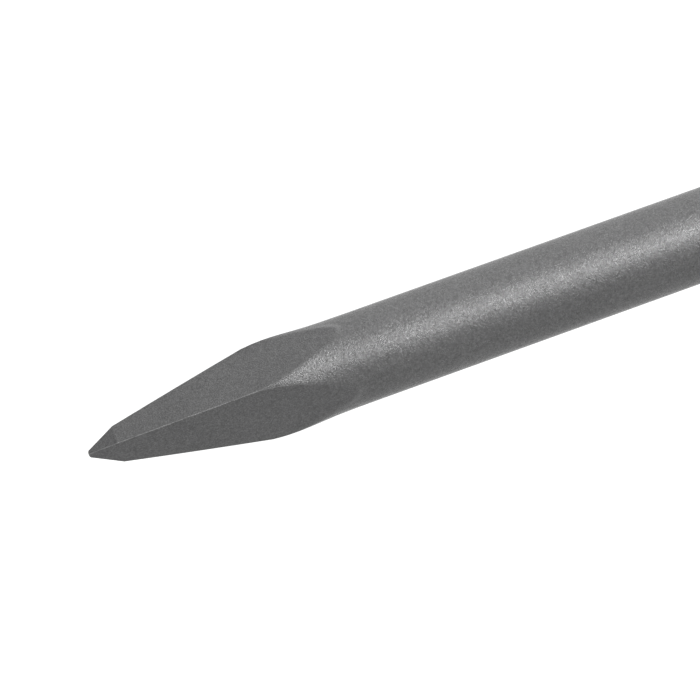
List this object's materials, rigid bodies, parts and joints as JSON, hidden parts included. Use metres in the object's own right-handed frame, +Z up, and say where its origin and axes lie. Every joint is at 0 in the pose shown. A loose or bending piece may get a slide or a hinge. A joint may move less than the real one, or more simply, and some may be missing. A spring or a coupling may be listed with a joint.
{
  "type": "electric jackhammer",
  "caption": "Upright electric jackhammer with a square-point chisel, air-spring hammer, geared motor, sprung T-handle and trigger.",
  "frame": {"origin": "the tip of the chisel's point, on the hammer axis, with the chisel hanging on its lock pin", "axes": "+Z up the hammer axis to the handle, +X to the operator's right (trigger side), -Y to the front (gear cover)"},
  "size_m": [0.564, 0.259, 0.928],
  "materials": {
    "forged_steel": "blasted, dark",
    "ground_steel": "ground",
    "hard_steel": "hardened",
    "black_steel": "black oxide",
    "zinc_steel": "zinc plated",
    "cast_alloy": "cast, blasted",
    "dark_alloy": "powder coated",
    "housing_plastic": "moulded, fine grain",
    "black_plastic": "moulded, fine grain",
    "rubber": "matt",
    "polymer_ring": "machined",
    "glass": "clear",
    "red_plastic": "glossy",
    "copper": "enamelled wire",
    "laminations": "stacked laminations",
    "carbon": "graphite"
  },
  "bodies": {
    "housing": {"anvil_guide": "hard_steel", "barrel_housing": "cast_alloy", "bearing_bracket": "cast_alloy", "brush_caps": "black_plastic", "brush_holders": "black_plastic", "carbon_brushes": "carbon", "crankcase": "cast_alloy", "cushion_ring": "rubber", "cylinder_liner": "ground_steel", "dust_seal": "rubber", "field_coils": "copper", "gear_cover": "dark_alloy", "gear_cover_bolts": "black_steel", "guide_rods": "ground_steel", "hex_bushing": "hard_steel", "housing_bolts": "black_steel", "lower_springs": "ground_steel", "motor_bolts": "black_steel", "motor_housing": "housing_plastic", "nose_housing": "dark_alloy", "oil_filler_cap": "black_plastic", "shaft_bearings": "ground_steel", "sight_glass": "glass", "sight_glass_bezel": "zinc_steel", "stator_core": "laminations", "striker_stop": "hard_steel", "tail_cover": "black_plastic", "tail_screws": "zinc_steel", "upper_springs": "ground_steel"},
    "chisel": {"point_chisel": "forged_steel"},
    "anvil": {"anvil": "hard_steel"},
    "striker": {"striker": "ground_steel", "striker_rings": "rubber"},
    "piston": {"piston": "cast_alloy", "piston_rings": "polymer_ring", "wrist_pin": "ground_steel"},
    "connecting_rod": {"connecting_rod": "hard_steel", "big_end_bearing": "ground_steel"},
    "crank": {"crankshaft": "hard_steel", "crank_gear": "hard_steel"},
    "layshaft": {"layshaft": "hard_steel", "layshaft_gear": "hard_steel"},
    "armature": {"armature_shaft": "ground_steel", "armature_core": "laminations", "commutator": "copper", "fan": "black_plastic"},
    "lock": {"lock_pin": "ground_steel", "lock_lever": "black_steel", "lever_screw": "zinc_steel"},
    "handle": {"handle_bracket_left": "dark_alloy", "handle_bracket_right": "dark_alloy", "handle_bar": "black_steel", "grip_left": "rubber", "grip_right": "rubber", "switch_housing": "black_plastic", "cord_gland": "black_plastic", "switch_module": "red_plastic", "trigger_pin": "zinc_steel"},
    "trigger": {"trigger": "black_plastic"},
    "lock_button": {"lock_button": "red_plastic"}
  },
  "joints": [
    {"name": "chisel_slide", "type": "slide", "parent": "housing", "child": "chisel", "axis": [0, 0, 1], "range_m": [0, 0.024]},
    {"name": "anvil_slide", "type": "slide", "parent": "housing", "child": "anvil", "axis": [0, 0, 1], "range_m": [0, 0.008]},
    {"name": "striker_slide", "type": "slide", "parent": "housing", "child": "striker", "axis": [0, 0, 1], "range_m": [0, 0.02]},
    {"name": "piston_slide", "type": "slide", "parent": "housing", "child": "piston", "axis": [0, 0, 1], "range_m": [0, 0.03]},
    {"name": "connecting_rod_swing", "type": "hinge", "parent": "piston", "child": "connecting_rod", "pos_m": [0, 0, 0.61], "axis": [0, 1, 0], "range_deg": [-10.5, 10.5]},
    {"name": "crank_spin", "type": "hinge", "parent": "housing", "child": "crank", "pos_m": [0, 0, 0.708], "axis": [0, 1, 0], "continuous": true},
    {"name": "layshaft_spin", "type": "hinge", "parent": "housing", "child": "layshaft", "pos_m": [0, 0, 0.769], "axis": [0, 1, 0], "continuous": true},
    {"name": "armature_spin", "type": "hinge", "parent": "housing", "child": "armature", "pos_m": [0, 0, 0.811], "axis": [0, 1, 0], "continuous": true},
    {"name": "lock_turn", "type": "hinge", "parent": "housing", "child": "lock", "pos_m": [0, -0.0153, 0.345], "axis": [1, 0, 0], "range_deg": [0, 180]},
    {"name": "handle_slide", "type": "slide", "parent": "housing", "child": "handle", "axis": [0, 0, 1], "range_m": [-0.01, 0.004], "stiffness_N_per_m": 9000, "springref_m": 0.0026, "deforming": ["lower_springs", "upper_springs"]},
    {"name": "trigger_press", "type": "hinge", "parent": "handle", "child": "trigger", "pos_m": [0.157, 0, 0.855], "axis": [0, -1, 0], "range_deg": [0, 8], "stiffness_Nm_per_rad": 0.6, "springref_deg": -11.46},
    {"name": "lock_button_press", "type": "slide", "parent": "handle", "child": "lock_button", "axis": [0, 1, 0], "range_m": [0, 0.003], "stiffness_N_per_m": 400, "springref_m": -0.001}
  ],
  "couplings": [
    {"joint": "layshaft_spin", "follows": "armature_spin", "ratio": -0.27273},
    {"joint": "crank_spin", "follows": "armature_spin", "ratio": 0.073864},
    {"joint": "anvil_slide", "follows": "chisel_slide", "ratio": 0.33333}
  ]
}
